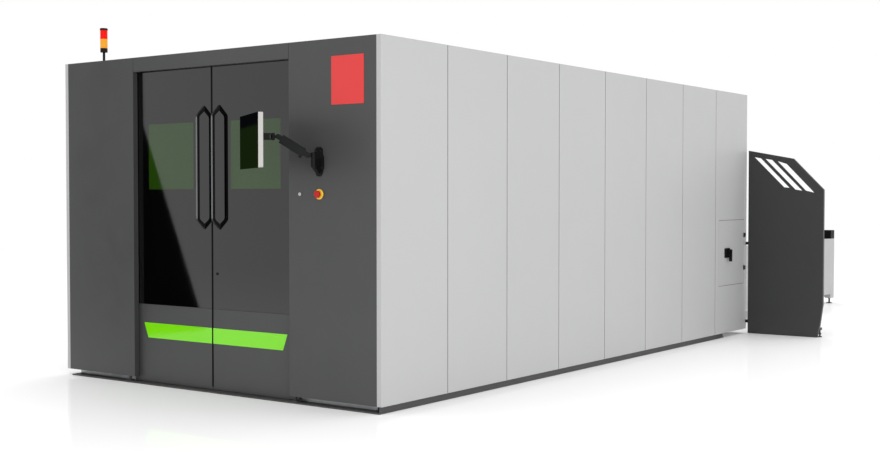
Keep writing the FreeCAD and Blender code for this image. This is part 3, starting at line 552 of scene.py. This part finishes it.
em.inputs["Color"].default_value = (1, 1, 1, 1)
em.inputs["Strength"].default_value = 1.0
fade = t.nodes.new("ShaderNodeMixShader")
t.links.new(remap(t, far.outputs["Value"], 8.0, 20.0, 0.0, 1.0), fade.inputs[0])
t.links.new(mx.outputs[0], fade.inputs[1])
t.links.new(em.outputs[0], fade.inputs[2])
t.links.new(fade.outputs[0], out.inputs[0])
me.materials.append(fm)

# dark flag standing to the front left, seen only in the door glass
CAM = Vector((5.963, -10.024, 1.264))
door_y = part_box("door_glass_left")[0].y
FLAG_X = -2.85


def mirrored(x, z):
    """Where the camera's ray that mirrors in the door glass at (x, z) meets the plane X = FLAG_X."""
    p = Vector((x, door_y, z))
    d = (p - CAM).normalized()
    d.y = -d.y
    return p + d * ((FLAG_X - p.x) / d.x)


tip, knee, toe = mirrored(-0.658, 1.747), mirrored(-0.119, 0.522), mirrored(-0.013, 0.319)
toe2 = toe + (toe - knee) * 0.8
pts = [tip, knee, toe, toe2, Vector((FLAG_X, toe2.y + 1.6, toe2.z)), Vector((FLAG_X, tip.y + 0.9, tip.z + 1.4)),
       Vector((FLAG_X, tip.y + 0.02, tip.z + 1.4))]
bm = bmesh.new()
bm.faces.new([bm.verts.new(p) for p in pts])
bm.normal_update()
for f in bm.faces:
    if f.normal.x < 0:
        f.normal_flip()
me = bpy.data.meshes.new("flag")
bm.to_mesh(me)
bm.free()
flag = bpy.data.objects.new("flag", me)
scene.collection.objects.link(flag)
flm = bpy.data.materials.new("m_flag")
flm.use_nodes = True
t = flm.node_tree
t.nodes.clear()
out = t.nodes.new("ShaderNodeOutputMaterial")
blk = t.nodes.new("ShaderNodeBsdfDiffuse")
blk.inputs["Color"].default_value = (0.004, 0.004, 0.004, 1)
clear = t.nodes.new("ShaderNodeBsdfTransparent")
geo = t.nodes.new("ShaderNodeNewGeometry")
two = t.nodes.new("ShaderNodeMixShader")
t.links.new(geo.outputs["Backfacing"], two.inputs[0])
t.links.new(blk.outputs[0], two.inputs[1])
t.links.new(clear.outputs[0], two.inputs[2])
t.links.new(two.outputs[0], out.inputs[0])
me.materials.append(flm)
flag.visible_camera = False
flag.visible_diffuse = False
flag.visible_shadow = False
flag.visible_transmission = False

w = bpy.data.worlds.new("studio")
scene.world = w
w.use_nodes = True
w.node_tree.nodes["Background"].inputs["Color"].default_value = (1, 1, 1, 1)
w.node_tree.nodes["Background"].inputs["Strength"].default_value = 1.0


def area(name, loc, target, size, power, color=(1, 1, 1)):
    l = bpy.data.lights.new(name, "AREA")
    l.shape = "RECTANGLE"
    l.size, l.size_y = size
    l.energy = power
    l.color = color
    o = bpy.data.objects.new(name, l)
    scene.collection.objects.link(o)
    o.location = loc
    o.rotation_euler = (Vector(target) - Vector(loc)).to_track_quat("-Z", "Y").to_euler()
    o.visible_camera = False
    o.visible_glossy = False
    return o


area("top", (0, 0, 16), (0, 0, 0), (22, 26), 2050)
area("key", (9.0, -9.5, 1.9), (1.4, -3.0, 0.9), (6, 3.4), 300)
area("right", (9.5, 1.2, 1.7), (1.43, 0.9, 0.8), (3.6, 2.6), 62)

cam = bpy.data.cameras.new("cam")
cam.lens = 51.41
cam.sensor_width = 36.0
cam.clip_end = 200
co = bpy.data.objects.new("cam", cam)
scene.collection.objects.link(co)
co.location = CAM
co.rotation_euler = Euler((math.radians(90 - 1.596), 0, math.radians(35.913)))
scene.camera = co
scene.view_settings.view_transform = "Standard"
scene.view_settings.look = "None"
